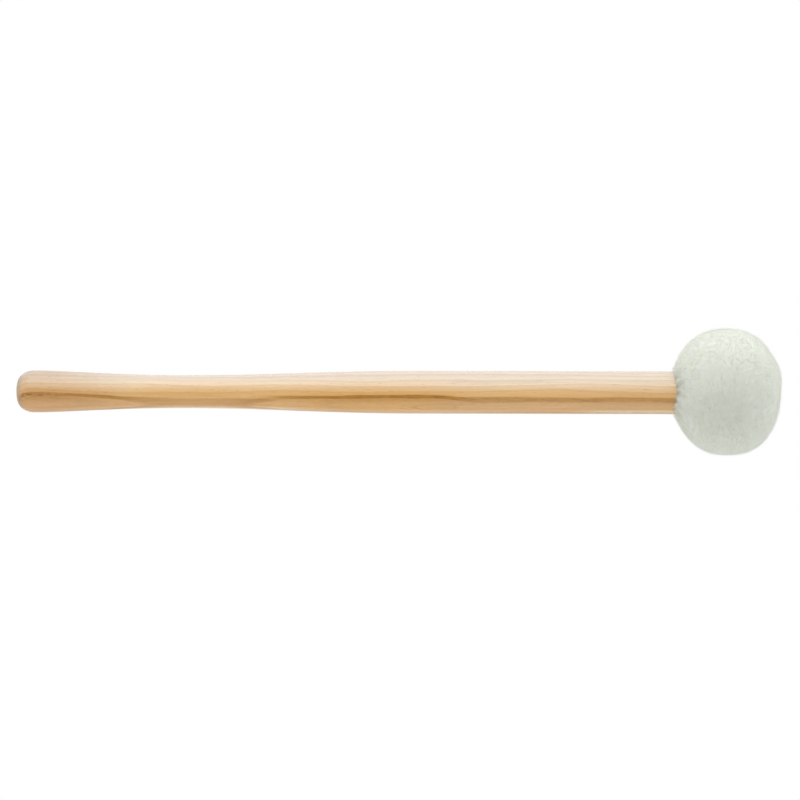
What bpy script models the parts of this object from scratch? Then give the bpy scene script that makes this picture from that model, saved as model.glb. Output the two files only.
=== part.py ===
"""A padded drum mallet: a turned wooden handle with a felt head under a fleece cover.

The mallet lies along world X. The origin is the centre of the small flat on the butt end,
and the head is at the +X end. Each piece is modelled upright on its own Z axis, with its
heights measured from the butt's flat, and one empty lays them all down along X.
"""

import math

import bpy

# Overall size, in metres
LENGTH = 0.350
GAP = 0.0003  # clearance kept between two pieces that touch

# Handle
BUTT_FLAT_RADIUS = 0.0040
BUTT_RADIUS = 0.00965
BUTT_CORNER_HEIGHT = 0.0075  # the rounded end is a quarter ellipse of this height
SWELL_END = 0.0090  # the grip starts to narrow here
SWELL_FALL = 0.75  # below 1, the grip narrows sooner than a plain wave
WAIST_RADIUS = 0.00757
WAIST_HEIGHT = 0.077
SHAFT_RADIUS = 0.00975
SHAFT_START = 0.182
TENON_RADIUS = 0.0060
TENON_CHAMFER = 0.0006

# Head: a superellipse of revolution, a little longer on the far side of its widest circle
HEAD_RADIUS = 0.0288
HEAD_CENTRE = 0.3239
HEAD_NEAR = 0.0238
HEAD_FAR = LENGTH - HEAD_CENTRE
HEAD_FULLNESS = 2.3  # 2 is an ellipsoid, and more is squarer
FLEECE_THICKNESS = 0.0045
LINER_THICKNESS = 0.0028

# Neck of the cover, where a cord draws the hem in round the handle
RIM_LAND = 0.0012
HEM_BEVEL = 0.0003
CORD_RADIUS = 0.0006
CORD_TURNS = 2
CORD_PITCH = 0.00125
LINER_NECK_RADIUS = 0.0122

# Washer and screw that hold the core on the tenon
WASHER_RADIUS = 0.0090
WASHER_THICKNESS = 0.0012
WASHER_EDGE = 0.0002
WASHER_CLEARANCE = 0.0006  # between the washer's edge and the liner round it
SCREW_CORE_RADIUS = 0.0015
THREAD_DEPTH = 0.0006
THREAD_PITCH = 0.0022
SCREW_LENGTH = 0.0240
SCREW_POINT = 0.0030
SCREW_HEAD_RADIUS = 0.0040
SCREW_HEAD_HEIGHT = 0.0020
RECESS_WIDTH = 0.0010
RECESS_SPAN = 0.0042
RECESS_DEPTH = 0.0012

# Facets
SIDES = 32
SCREW_SIDES = 20
HEAD_STEPS = 14
GRIP_STEPS = 10
CORNER_STEPS = 5
RINGS_PER_PITCH = 4
CORD_POINTS_PER_TURN = 20
SMOOTH_ANGLE = math.radians(35)

# Heights that follow from the sizes above
COVER_INNER = FLEECE_THICKNESS
LINER_OUTER = COVER_INNER + GAP
LINER_INNER = LINER_OUTER + LINER_THICKNESS
CORE_OUTER = LINER_INNER + GAP
NECK_RADIUS = SHAFT_RADIUS + GAP
CORD_CENTRE_RADIUS = NECK_RADIUS + CORD_RADIUS
HEM_RADIUS = CORD_CENTRE_RADIUS + CORD_RADIUS + GAP


def ease(t):
    """A smooth rise from 0 to 1 with level ends."""
    return 0.5 - 0.5 * math.cos(math.pi * t)


def head_angle(inset, radius):
    """The outline angle, from 0 at the widest circle, where the inset head has this radius."""
    return math.acos((radius / (HEAD_RADIUS - inset)) ** (HEAD_FULLNESS / 2))


def head_point(inset, angle):
    """(radius, height) on the head's outline, set in from its surface, at an outline angle."""
    length = (HEAD_FAR if angle > 0 else HEAD_NEAR) - inset
    power = 2 / HEAD_FULLNESS
    radius = (HEAD_RADIUS - inset) * math.cos(angle) ** power
    height = math.copysign(abs(math.sin(angle)) ** power, angle) * length
    return radius, HEAD_CENTRE + height


def head_arc(inset, far_radius, near_radius, steps=HEAD_STEPS):
    """Points along the inset outline, from its far side round the widest circle to its near side."""
    first = head_angle(inset, far_radius)
    last = -head_angle(inset, near_radius)
    return [head_point(inset, first + (last - first) * step / steps) for step in range(steps + 1)]


# The core's two faces are cut flat, out to the edge of the handle's shoulder and of the washer
CORE_NEAR_FACE = head_point(CORE_OUTER, -head_angle(CORE_OUTER, SHAFT_RADIUS))[1]
CORE_FAR_FACE = head_point(CORE_OUTER, head_angle(CORE_OUTER, WASHER_RADIUS + GAP))[1]
SHOULDER_HEIGHT = CORE_NEAR_FACE - GAP
TENON_END = CORE_FAR_FACE - 2 * GAP
WASHER_HEIGHT = CORE_FAR_FACE + GAP
SCREW_SEAT = WASHER_HEIGHT + WASHER_THICKNESS + GAP
PILOT_RADIUS = SCREW_CORE_RADIUS + THREAD_DEPTH + GAP
PILOT_BOTTOM = SCREW_SEAT - SCREW_LENGTH - SCREW_POINT
RIM_HEIGHT = head_point(0.0, -head_angle(0.0, NECK_RADIUS))[1]
CORD_HEIGHT = RIM_HEIGHT + RIM_LAND + HEM_BEVEL + GAP + CORD_RADIUS


def clear_scene():
    """Start from an empty scene."""
    for old in list(bpy.data.objects):
        bpy.data.objects.remove(old, do_unlink=True)


def new_collection(name):
    """A collection of the scene."""
    collection = bpy.data.collections.new(name)
    bpy.context.scene.collection.children.link(collection)
    return collection


def new_material(name, colour, roughness, metallic=0.0):
    """A Principled material with one colour."""
    material = bpy.data.materials.new(name)
    material.use_nodes = True
    shader = material.node_tree.nodes["Principled BSDF"]
    shader.inputs["Base Color"].default_value = (*colour, 1.0)
    shader.inputs["Roughness"].default_value = roughness
    shader.inputs["Metallic"].default_value = metallic
    material.diffuse_color = (*colour, 1.0)
    return material


def add_piece(name, data, material, parts, axis):
    """An object of the mallet, carried by the empty that lays it down."""
    piece = bpy.data.objects.new(name, data)
    data.materials.append(material)
    parts.objects.link(piece)
    piece.parent = axis
    return piece


def shade_round(piece):
    """Smooth shading, with edges kept where a surface turns sharply."""
    piece.data.shade_smooth()
    piece.data.set_sharp_from_angle(angle=SMOOTH_ANGLE)


def profile_mesh(name, outline, closed):
    """An outline of (radius, height) points as a mesh of edges."""
    points = [(radius, 0.0, height) for radius, height in outline]
    edges = [(i, i + 1) for i in range(len(points) - 1)]
    if closed:
        edges.append((len(points) - 1, 0))
    mesh = bpy.data.meshes.new(name)
    mesh.from_pydata(points, edges, [])
    return mesh


def add_turning(piece, sides):
    """A Screw modifier that turns the piece's outline once round its axis."""
    turning = piece.modifiers.new("turning", "SCREW")
    turning.steps = sides
    turning.render_steps = sides
    turning.use_merge_vertices = True
    turning.merge_threshold = 0.00005
    turning.use_normal_calculate = False
    turning.use_smooth_shade = True


def turned(name, outline, material, parts, axis, closed=False, sides=SIDES):
    """A turned piece. Its outline runs down its outer side, and a ring's outline is closed."""
    piece = add_piece(name, profile_mesh(name, outline, closed), material, parts, axis)
    add_turning(piece, sides)
    return piece


def evaluated_mesh(piece):
    """The piece's mesh with its modifiers worked in."""
    bpy.context.view_layer.update()
    seen = piece.evaluated_get(bpy.context.evaluated_depsgraph_get())
    return bpy.data.meshes.new_from_object(seen)


def grip_radius(height):
    """The handle's radius above its rounded end: a swell, a waist and a straight shaft."""
    if height <= SWELL_END:
        return BUTT_RADIUS
    if height <= WAIST_HEIGHT:
        part = (height - SWELL_END) / (WAIST_HEIGHT - SWELL_END)
        return BUTT_RADIUS + (WAIST_RADIUS - BUTT_RADIUS) * ease(part**SWELL_FALL)
    if height <= SHAFT_START:
        part = (height - WAIST_HEIGHT) / (SHAFT_START - WAIST_HEIGHT)
        return WAIST_RADIUS + (SHAFT_RADIUS - WAIST_RADIUS) * ease(part)
    return SHAFT_RADIUS


def butt_corner():
    """The rounded end of the handle, from its full radius down to the edge of the flat."""
    points = []
    for step in range(CORNER_STEPS + 1):
        angle = math.pi / 2 * step / CORNER_STEPS
        radius = BUTT_FLAT_RADIUS + (BUTT_RADIUS - BUTT_FLAT_RADIUS) * math.cos(angle)
        points.append((radius, BUTT_CORNER_HEIGHT * (1 - math.sin(angle))))
    return points


def make_handle(parts, axis):
    """The turned stick, with a tenon for the head and a pilot hole for the screw."""
    wood = new_material("lacquered_hardwood", (0.66, 0.44, 0.24), 0.38)
    outline = [(0.0, PILOT_BOTTOM - PILOT_RADIUS), (PILOT_RADIUS, PILOT_BOTTOM)]
    outline += [(PILOT_RADIUS, TENON_END), (TENON_RADIUS - TENON_CHAMFER, TENON_END)]
    outline += [(TENON_RADIUS, TENON_END - TENON_CHAMFER), (TENON_RADIUS, SHOULDER_HEIGHT)]
    outline += [(SHAFT_RADIUS, SHOULDER_HEIGHT)]
    for top, bottom in ((SHAFT_START, WAIST_HEIGHT), (WAIST_HEIGHT, SWELL_END)):
        for step in range(GRIP_STEPS):
            height = top + (bottom - top) * step / GRIP_STEPS
            outline.append((grip_radius(height), height))
    outline.append((BUTT_RADIUS, SWELL_END))
    outline += butt_corner()
    outline.append((0.0, 0.0))
    return turned("handle", outline, wood, parts, axis)


def make_felt_core(parts, axis):
    """The hard felt ball, bored for the tenon and faced flat at both ends."""
    felt = new_material("hard_felt", (0.58, 0.53, 0.43), 0.95)
    bore = TENON_RADIUS + GAP
    outline = [(bore, CORE_FAR_FACE)]
    outline += head_arc(CORE_OUTER, WASHER_RADIUS + GAP, SHAFT_RADIUS)
    outline += [(bore, CORE_NEAR_FACE)]
    return turned("felt_core", outline, felt, parts, axis, closed=True)


def make_felt_liner(parts, axis):
    """The soft felt wrap over the core, open round the handle and round the washer."""
    felt = new_material("soft_felt", (0.74, 0.72, 0.66), 0.98)
    far_hole = WASHER_RADIUS + WASHER_CLEARANCE
    outside = head_arc(LINER_OUTER, far_hole, LINER_NECK_RADIUS)
    inside = head_arc(LINER_INNER, far_hole, LINER_NECK_RADIUS)
    return turned("felt_liner", outside + inside[::-1], felt, parts, axis, closed=True)


def make_fleece_cover(parts, axis):
    """The fleece cover: closed at its far end, and drawn in to a rim round the handle."""
    fleece = new_material("pale_fleece", (0.62, 0.66, 0.57), 1.0)
    groove_floor = RIM_HEIGHT + RIM_LAND + HEM_BEVEL
    outline = head_arc(0.0, 0.0, NECK_RADIUS)
    outline += [(NECK_RADIUS, RIM_HEIGHT + RIM_LAND), (HEM_RADIUS, groove_floor)]
    outline += head_arc(COVER_INNER, 0.0, HEM_RADIUS)[::-1]
    outline[0] = (0.0, LENGTH)
    outline[-1] = (0.0, LENGTH - COVER_INNER)
    return turned("fleece_cover", outline, fleece, parts, axis)


def make_gather_cord(parts, axis):
    """The cord wound round the handle inside the cover's hem."""
    cord = new_material("waxed_cord", (0.62, 0.58, 0.48), 0.7)
    count = CORD_TURNS * CORD_POINTS_PER_TURN
    curve = bpy.data.curves.new("gather_cord", "CURVE")
    curve.dimensions = "3D"
    curve.bevel_depth = CORD_RADIUS
    curve.bevel_resolution = 2
    curve.use_fill_caps = True
    spline = curve.splines.new("POLY")
    spline.points.add(count)
    for step in range(count + 1):
        angle = 2 * math.pi * step / CORD_POINTS_PER_TURN
        x = CORD_CENTRE_RADIUS * math.cos(angle)
        y = CORD_CENTRE_RADIUS * math.sin(angle)
        height = CORD_HEIGHT + CORD_PITCH * step / CORD_POINTS_PER_TURN
        spline.points[step].co = (x, y, height, 1.0)
    return add_piece("gather_cord", curve, cord, parts, axis)


def make_end_washer(steel, parts, axis):
    """The flat washer that spreads the screw's pull over the felt."""
    top = WASHER_HEIGHT + WASHER_THICKNESS
    hole = SCREW_CORE_RADIUS + THREAD_DEPTH + GAP
    rim = WASHER_RADIUS - WASHER_EDGE
    outline = [(hole, top), (rim, top), (WASHER_RADIUS, top - WASHER_EDGE)]
    outline += [(WASHER_RADIUS, WASHER_HEIGHT + WASHER_EDGE), (rim, WASHER_HEIGHT)]
    outline += [(hole, WASHER_HEIGHT)]
    return turned("end_washer", outline, steel, parts, axis, closed=True)


def cut_thread(mesh):
    """Raises a right-handed helical ridge on the screw's shank, fading out at both its ends."""
    top = SCREW_SEAT - THREAD_PITCH
    bottom = SCREW_SEAT - SCREW_LENGTH
    for vertex in mesh.vertices:
        x, y, height = vertex.co
        radius = math.hypot(x, y)
        if radius < SCREW_CORE_RADIUS / 2 or not bottom < height < top:
            continue
        turn = height / THREAD_PITCH - math.atan2(y, x) / (2 * math.pi)
        ridge = 1 - abs(2 * (turn % 1.0) - 1)
        fade = min((top - height) / THREAD_PITCH, (height - bottom) / THREAD_PITCH, 1.0)
        scale = 1 + THREAD_DEPTH * ridge * fade / radius
        vertex.co = (x * scale, y * scale, height)


def recess_cutter(name, angle, cutters, axis):
    """One bar of the screw head's cross recess."""
    bpy.ops.mesh.primitive_cube_add(size=1.0)
    bar = bpy.context.object
    bar.name = name
    for collection in list(bar.users_collection):
        collection.objects.unlink(bar)
    cutters.objects.link(bar)
    for vertex in bar.data.vertices:
        vertex.co.x *= RECESS_SPAN
        vertex.co.y *= RECESS_WIDTH
        vertex.co.z *= 2 * RECESS_DEPTH
    bar.parent = axis
    bar.location = (0.0, 0.0, SCREW_SEAT + SCREW_HEAD_HEIGHT)
    bar.rotation_euler = (0.0, 0.0, angle)
    bar.hide_render = True
    bar.display_type = "WIRE"
    return bar


def make_end_screw(steel, parts, cutters, axis):
    """The pan-head wood screw, with a helical thread and a cross recess."""
    head_top = SCREW_SEAT + SCREW_HEAD_HEIGHT
    outline = []
    for step in range(CORNER_STEPS + 1):
        angle = math.pi / 2 * step / CORNER_STEPS
        drop = 0.6 * SCREW_HEAD_HEIGHT * (1 - math.cos(angle))
        outline.append((SCREW_HEAD_RADIUS * math.sin(angle), head_top - drop))
    outline.append((SCREW_HEAD_RADIUS, SCREW_SEAT))
    ring_count = round(SCREW_LENGTH / THREAD_PITCH * RINGS_PER_PITCH)
    for ring in range(ring_count + 1):
        outline.append((SCREW_CORE_RADIUS, SCREW_SEAT - SCREW_LENGTH * ring / ring_count))
    outline.append((0.0, SCREW_SEAT - SCREW_LENGTH - SCREW_POINT + GAP))
    screw = turned("end_screw", outline, steel, parts, axis, sides=SCREW_SIDES)
    blank = screw.data
    screw.data = evaluated_mesh(screw)
    screw.modifiers.clear()
    bpy.data.meshes.remove(blank)
    cut_thread(screw.data)
    shade_round(screw)
    for number, angle in enumerate((0.0, math.pi / 2)):
        recess = screw.modifiers.new(f"recess_{number}", "BOOLEAN")
        recess.operation = "DIFFERENCE"
        recess.solver = "EXACT"
        recess.object = recess_cutter(f"recess_bar_{number}", angle, cutters, axis)
    return screw


def main():
    """Builds the mallet."""
    clear_scene()
    parts = new_collection("drum_mallet")
    cutters = new_collection("drum_mallet_cutters")
    axis = bpy.data.objects.new("mallet_axis", None)
    parts.objects.link(axis)
    axis.rotation_euler = (0.0, math.pi / 2, 0.0)
    steel = new_material("zinc_plated_steel", (0.62, 0.63, 0.64), 0.35, metallic=1.0)
    make_handle(parts, axis)
    make_felt_core(parts, axis)
    make_felt_liner(parts, axis)
    make_fleece_cover(parts, axis)
    make_gather_cord(parts, axis)
    make_end_washer(steel, parts, axis)
    make_end_screw(steel, parts, cutters, axis)


main()
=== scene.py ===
"""The drum mallet's looks: a lacquered, turned handle and a head under pale, short-pile fleece.

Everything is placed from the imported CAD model, in metres, with the mallet's axis on X, the
butt's flat at the origin and the head at +X. The mallet lies on a pale floor, which is tipped
to touch the head and the butt, and the camera looks straight down at it.
"""

import math

import bmesh
import bpy
import numpy as np
from mathutils import Matrix, Vector, noise
from mathutils.kdtree import KDTree


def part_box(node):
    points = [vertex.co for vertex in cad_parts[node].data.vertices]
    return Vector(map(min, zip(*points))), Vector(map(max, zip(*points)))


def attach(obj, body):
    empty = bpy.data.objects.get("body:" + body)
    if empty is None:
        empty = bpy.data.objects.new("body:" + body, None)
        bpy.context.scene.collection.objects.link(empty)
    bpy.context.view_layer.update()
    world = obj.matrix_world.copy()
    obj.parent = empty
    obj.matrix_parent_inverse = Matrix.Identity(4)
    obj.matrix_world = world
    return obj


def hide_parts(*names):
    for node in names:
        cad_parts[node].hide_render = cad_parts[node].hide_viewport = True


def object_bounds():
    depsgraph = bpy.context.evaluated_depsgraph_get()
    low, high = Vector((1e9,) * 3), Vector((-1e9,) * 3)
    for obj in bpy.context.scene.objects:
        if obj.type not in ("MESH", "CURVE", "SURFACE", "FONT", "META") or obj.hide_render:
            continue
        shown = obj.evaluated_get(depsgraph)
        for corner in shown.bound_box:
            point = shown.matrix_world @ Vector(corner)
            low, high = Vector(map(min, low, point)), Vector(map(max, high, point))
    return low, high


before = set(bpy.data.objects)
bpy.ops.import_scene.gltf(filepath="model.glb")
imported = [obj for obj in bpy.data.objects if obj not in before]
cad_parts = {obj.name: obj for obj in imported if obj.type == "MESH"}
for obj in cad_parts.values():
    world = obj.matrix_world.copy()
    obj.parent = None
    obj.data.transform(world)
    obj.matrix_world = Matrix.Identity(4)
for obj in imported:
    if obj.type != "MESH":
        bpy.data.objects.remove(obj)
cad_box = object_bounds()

MM = 0.001
BODY = "root"

# Handle
HANDLE_SIDES = 128
HANDLE_RING_STEP = 1.2 * MM
CORNER_RINGS = 24
TURNING_WAVE = 0.015 * MM  # how far hand sanding leaves the radius uneven
BUTT_ZONE = 10 * MM  # the rounded end lies within this distance of the flat

# Wood. Its edges, bends and streaks are in millimetres of the growth field, which rises from the
# heart to the bark. The knot's and the butt's sizes are in millimetres on the handle.
GROWTH_ACROSS = 0.743  # how fast the field rises along Y
GROWTH_DOWN = 0.669  # how fast it falls along Z
WANDER = 0.18  # how far the grain strays from straight
RING_BEND = 1.8
EDGE_BEND = 0.6
RING_SPACING = 2.6
RING_CONTRAST = 0.34
KNOT_RING_CONTRAST = 0.85
HEARTWOOD_EDGE = (-7.2, -3.7)
SAPWOOD_EDGE = (-3.4, -1.6)
DEEP_HEART_EDGE = (-7.2, -9.2)
BARK_SIDE_EDGE = (-1.5, 2.5)
FLUSHED_EDGE = (-6.2, -8.0)
STREAK_RANGE = (-10.0, -6.0)
STREAK_BELOW = 0.45  # a streak's sharp side, towards the heart
STREAK_HALO = 2.2  # how far it stains the wood on that side
HALO_SHARE = 0.35
STREAK_CORE = 0.9  # its fully dark width, where its spread is 1
STREAK_ABOVE = 1.7  # where its soft side ends, where its spread is 1
# Painted reflection: the stick's -Y rim is painted paler, standing in for the floor's reflection in the
# lacquer
PAINTED_REFLECTION_EDGE = (-0.76, -0.91)  # the sine of the angle round the stick
FEATHER = ((-7.0, 2.6), (7.0, 4.0))  # (middle, reach) on each axis across the handle
FEATHER_TIP = 198.0
FEATHER_AHEAD = 6.0  # its reach past the tip's middle, towards the head
FEATHER_BEHIND = 24.0
FEATHER_RISE = 5.2
HANDLED_LENGTH = (12.0, 60.0)  # where the browning from the hand fades out, from the butt
BUTT_SHARE = 0.65  # how much of the butt's colour shows on its flat
BUTT_DEPTH = 4.0
GRAIN_SHARE = 0.6
PORE_SHARE = 0.55
FRAYED_SHARE = 0.8  # what is left of a streak where it is most frayed

# Curves along the handle, from 0 at the butt to 1 at the tenon's end. Each is its
# two ends, and then the points between them.
HEART_RISE = (
    (0.0, 0.3), (1.0, 0.0),
    (0.12, 0.35), (0.2, 0.85), (0.27, 0.9), (0.36, 0.65), (0.45, 0.65), (0.55, 0.4), (0.68, 0.0),
)
HEART_RISE_HEIGHT = 2.0
FLUSH = (
    (0.0, 0.2), (1.0, 0.0),
    (0.15, 0.2), (0.24, 0.5), (0.38, 0.5), (0.42, 1.0), (0.48, 1.0), (0.58, 0.5), (0.66, 0.0),
)
FIRST_PATH = (
    (0.0, 0.65), (1.0, 0.5),
    (0.04, 0.62), (0.09, 0.65), (0.12, 0.65), (0.15, 0.61), (0.2, 0.61), (0.31, 0.55),
)
FIRST_STRENGTH = (
    (0.0, 0.6), (1.0, 0.0),
    (0.05, 0.6), (0.1, 0.85), (0.12, 0.85), (0.19, 0.6), (0.27, 0.5), (0.33, 0.75), (0.38, 0.0),
)
FIRST_SPREAD = ((0.0, 0.7), (1.0, 0.4), (0.06, 0.6), (0.1, 0.5), (0.2, 0.5), (0.28, 0.5), (0.33, 0.35))
SECOND_PATH = (
    (0.3, 0.68), (1.0, 0.22),
    (0.36, 0.64), (0.41, 0.55), (0.47, 0.48), (0.55, 0.47), (0.58, 0.41), (0.63, 0.25), (0.8, 0.25),
)
SECOND_STRENGTH = (
    (0.0, 0.0), (1.0, 0.8),
    (0.31, 0.0), (0.37, 0.85), (0.45, 1.0), (0.57, 1.0), (0.63, 0.65), (0.8, 0.68),
)
SECOND_SPREAD = ((0.0, 0.4), (1.0, 0.75), (0.5, 0.55), (0.6, 0.65), (0.65, 0.75))
# How strongly the painted reflection on the -Y rim shows along the handle
PAINTED_REFLECTION_ALONG = (
    (0.0, 0.1), (1.0, 1.0),
    (0.12, 0.3), (0.2, 0.9), (0.3, 1.0), (0.37, 0.7), (0.45, 0.3), (0.6, 0.35), (0.73, 0.15), (0.8, 0.9),
)
SPECKS = ((0.0, 0.9), (1.0, 0.0), (0.04, 0.8), (0.09, 0.2), (0.4, 0.15), (0.6, 0.3))

# The wood's noise: how finely it changes along X, Y and Z, per millimetre
WANDER_SCALE = (0.045, 0.35, 0.35)
BEND_SCALE = (0.011, 0.07, 0.07)
PATCH_SCALE = (0.025, 0.14, 0.14)
FRAY_SCALE = (0.12, 2.5, 2.5)
SPECK_SCALE = (0.35, 1.3, 1.3)
GRAIN_SCALE = (0.07, 7.0, 7.0)
PORE_SCALE = (0.28, 4.5, 4.5)
NOISE_SPAN = (0.2, 0.8)  # what nearly all of a noise's values lie between
FRAY_SPAN = (0.3, 0.6)
SPECK_SPAN = (0.5, 0.6)
PORE_SPAN = (0.66, 0.76)

# Colours. A pair is the two that soft noise wanders between.
HEART_COLOURS = ((0.93, 0.58, 0.23), (0.89, 0.515, 0.19))
DEEP_HEART_COLOUR = (0.82, 0.50, 0.21)
FLUSHED_COLOUR = (0.82, 0.45, 0.12)
OUTER_HEART_COLOUR = (0.86, 0.67, 0.45)
SAPWOOD_COLOURS = ((0.745, 0.645, 0.49), (0.735, 0.615, 0.48))
BARK_SIDE_COLOUR = (0.74, 0.65, 0.56)
# The painted reflection's colour, a pale wood colour
PAINTED_REFLECTION_COLOUR = (0.94, 0.77, 0.53)
LATE_WOOD_COLOUR = (0.56, 0.30, 0.105)
STREAK_COLOUR = (0.47, 0.20, 0.010)
SPECK_COLOUR = (0.13, 0.07, 0.03)
PORE_COLOUR = (0.34, 0.19, 0.10)
BUTT_COLOUR = (0.30, 0.215, 0.12)
HANDLED_TINT = (0.86, 0.79, 0.72)
GRAIN_TINTS = ((0.80, 0.80, 0.80), (1.14, 1.14, 1.14))
SKIN_COLOURS = ((0.87, 0.92, 0.81), (0.90, 0.935, 0.86))
PILE_COLOURS = ((0.825, 0.88, 0.73), (0.89, 0.925, 0.82))
HARD_FELT_COLOURS = ((0.52, 0.47, 0.38), (0.62, 0.56, 0.46))
SOFT_FELT_COLOURS = ((0.68, 0.66, 0.60), (0.78, 0.76, 0.70))
CORD_COLOURS = ((0.54, 0.50, 0.40), (0.68, 0.64, 0.54))
STEEL_COLOURS = ((0.52, 0.53, 0.55), (0.70, 0.71, 0.72))
FLOOR_COLOURS = ((0.90, 0.90, 0.90), (0.92, 0.92, 0.92))
WHITE = (1.0, 1.0, 1.0, 1.0)

# Fleece cover: the knitted skin, which the pile stands on
SKIN_INSET = 1.0 * MM  # the skin's depth below the pile's tips
SKIN_SWELL = 0.6 * MM  # how much the simulation is left to fill out
SKIN_THICKNESS = 2.2 * MM
HEM_THICKNESS = 0.35 * MM  # where the skin is thinned to lie over the cord
SKIN_SIDES = 96
SKIN_RINGS = 48
SKIN_FINER = 4  # the simulated skin is resampled this many times more finely
SKIN_LIMIT = 1.0 * MM  # the furthest that the simulation may move the skin
SIMULATED_FRAMES = 20
SIMULATED_SIZE = 20  # the simulated cage's size, in times life size
CLOTH_SLACK = 0.028  # the knitted skin is cut this much larger than its shape
CLOTH_PRESSURE = 4.0
HELD_RINGS = 2  # how many rings at the hem the simulation leaves in place
HEM_FINE_RINGS = 12  # rings of the inner face that are kept as fine as the outer face
HEM_GAP = 0.2 * MM  # between the skin and the handle
SOFT_GAP = 0.15 * MM  # how gradually what lies too close is moved out
PLEATS = 17  # how many gathers run into the neck
PLEAT_DEPTH = 0.8 * MM
PLEAT_REACH = 11 * MM  # how far from the handle the gathers run
NECK_FULLNESS = 1.0 * MM  # how much the gathered cloth stands proud round the handle
TUFT_RELIEF = 0.05 * MM
TUFT_SIZE = 1.5 * MM
FINE_TUFT_SIZE = 0.7 * MM
# Places where the pad was pressed flatter, or is fuller: (direction, depth, width in degrees)
PRESSED_PLACES = (
    ((-0.72, -0.69, 0.0), 1.4 * MM, 22),
    ((-0.15, -0.98, 0.0), 0.5 * MM, 22),
    ((0.75, -0.65, 0.0), 0.5 * MM, 22),
    ((0.72, 0.66, 0.15), 0.75 * MM, 20),
    ((0.94, 0.34, 0.0), -0.6 * MM, 12),
    ((1.0, -0.05, 0.0), 0.9 * MM, 8),
    ((0.97, -0.25, 0.1), 1.0 * MM, 28),
    ((-0.2, 0.3, -0.9), 0.7 * MM, 26),
    ((0.5, -0.6, -0.6), 0.6 * MM, 24),
    ((0.0, 1.0, 0.0), -0.6 * MM, 36),
    ((-0.9, 0.05, 0.42), 1.3 * MM, 13),
)

# Pile
PILE_STRANDS = 160000
PILE_PIECES = 10
PILE_LENGTH = 1.5 * MM
PILE_LENGTHS = (0.75, 1.2)  # the shortest and longest strand, in times that length
PILE_TILT = 38  # degrees from the skin's normal
PILE_TILT_SPREAD = 13
PILE_TILTS = (8, 78)  # the least and the greatest tilt
STRAND_RADIUS = 0.014 * MM
STRAND_PARTS = (0.55, 0.45)  # a strand's share below its bend and above it
STRAND_TAPER = 0.85  # its thickness at the bend, in times its root's
STRAND_VARIETY = 0.02  # how much darker than the rest one strand may be
ROOT_DEPTH = 0.1 * MM
# What sets a strand's lean, as (share, size of the field's features)
COMBED = (0.4, 7 * MM)
FINELY_COMBED = (0.06, 2.2 * MM)
WILD_SHARE = 0.75
CURL = 0.35
DROOP = 0.15
CLUMP_COUNT = 5200
CLUMP_PULL = 0.06  # how far a strand is drawn towards its tuft
CLUMP_PULLS = (0.6, 1.2)  # the weakest and strongest pull, in times that
CLUMP_BEND_WIDTH = 0.7  # a tuft's width at its strands' bends, in times its width at the roots
CLUMP_TIP_WIDTH = 0.35
PILE_SEED = 11

# Inside the head
FELT_LEVELS = 3
FELT_CREASE_ANGLE = math.radians(50)
FELT_CREASE = 0.6
HARD_FELT_RELIEF = 0.06 * MM
SOFT_FELT_RELIEF = 0.12 * MM
CORD_RADIUS = 0.6 * MM
CORD_TURNS = 2
CORD_STEPS_PER_TURN = 240
CORD_PLIES = 3
CORD_TWISTS = 38
PLY_RADIUS = 0.24 * MM
PLY_OFFSET = 0.33 * MM
PLY_SIDES = 8

# Camera and light
CAMERA_DISTANCE = 1.30
LENS = 127.95
AXIS_ABOVE_CENTRE = 3.6 * MM  # the mallet lies a little above the middle of the picture
MIDDLE_LEFT_OF_CENTRE = 1.3 * MM
ROLL = math.radians(0.14)
FLOOR_GAP = 0.05 * MM
FLOOR_HALF_WIDTH = 3.0
ROOM_ABOVE = 0.42  # how bright the room is overhead
ROOM_ASIDE = 1.08  # and at the height of the floor
FLOOR_GLOW = 0.60  # the light that the floor gives to matt surfaces
# Each light's direction, strength and width in degrees
KEY_LIGHT = ((0.0, 0.88, 0.47), 1.38, 70)
FILL_LIGHT = ((0.0, -0.97, 0.22), 0.38, 60)


# -------- meshes


def mesh_points(mesh):
    """The mesh's vertices as an array."""
    points = np.empty(len(mesh.vertices) * 3)
    mesh.vertices.foreach_get("co", points)
    return points.reshape(-1, 3)


def turned_points(node):
    """A turned CAD node's vertices as (distance along X, radius), sorted, without repeats."""
    points = mesh_points(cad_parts[node].data)
    flat = np.column_stack([points[:, 0], np.hypot(points[:, 1], points[:, 2])])
    return np.unique(flat.round(6), axis=0)


def new_object(name, points, faces, smooth=True):
    """A mesh object from arrays of points and of faces of one size or several."""
    mesh = bpy.data.meshes.new(name)
    mesh.from_pydata(points, [], faces)
    mesh.polygons.foreach_set("use_smooth", np.full(len(mesh.polygons), smooth))
    mesh.update()
    piece = bpy.data.objects.new(name, mesh)
    bpy.context.scene.collection.objects.link(piece)
    return piece


def grid_faces(rings, sides, first_pole, last_pole):
    """Faces of a tube of rings. A pole is an end ring that is one point."""
    starts, at = [], 0
    for ring in range(rings):
        starts.append(at)
        pole = (ring == 0 and first_pole) or (ring == rings - 1 and last_pole)
        at += 1 if pole else sides
    faces = []
    for ring in range(rings - 1):
        here, there = starts[ring], starts[ring + 1]
        from_pole = ring == 0 and first_pole
        to_pole = ring == rings - 2 and last_pole
        for side in range(sides):
            after = (side + 1) % sides
            if from_pole:
                faces.append((here, there + side, there + after))
            elif to_pole:
                faces.append((here + side, there, here + after))
            else:
                faces.append((here + side, there + side, there + after, here + after))
    return faces


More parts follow.
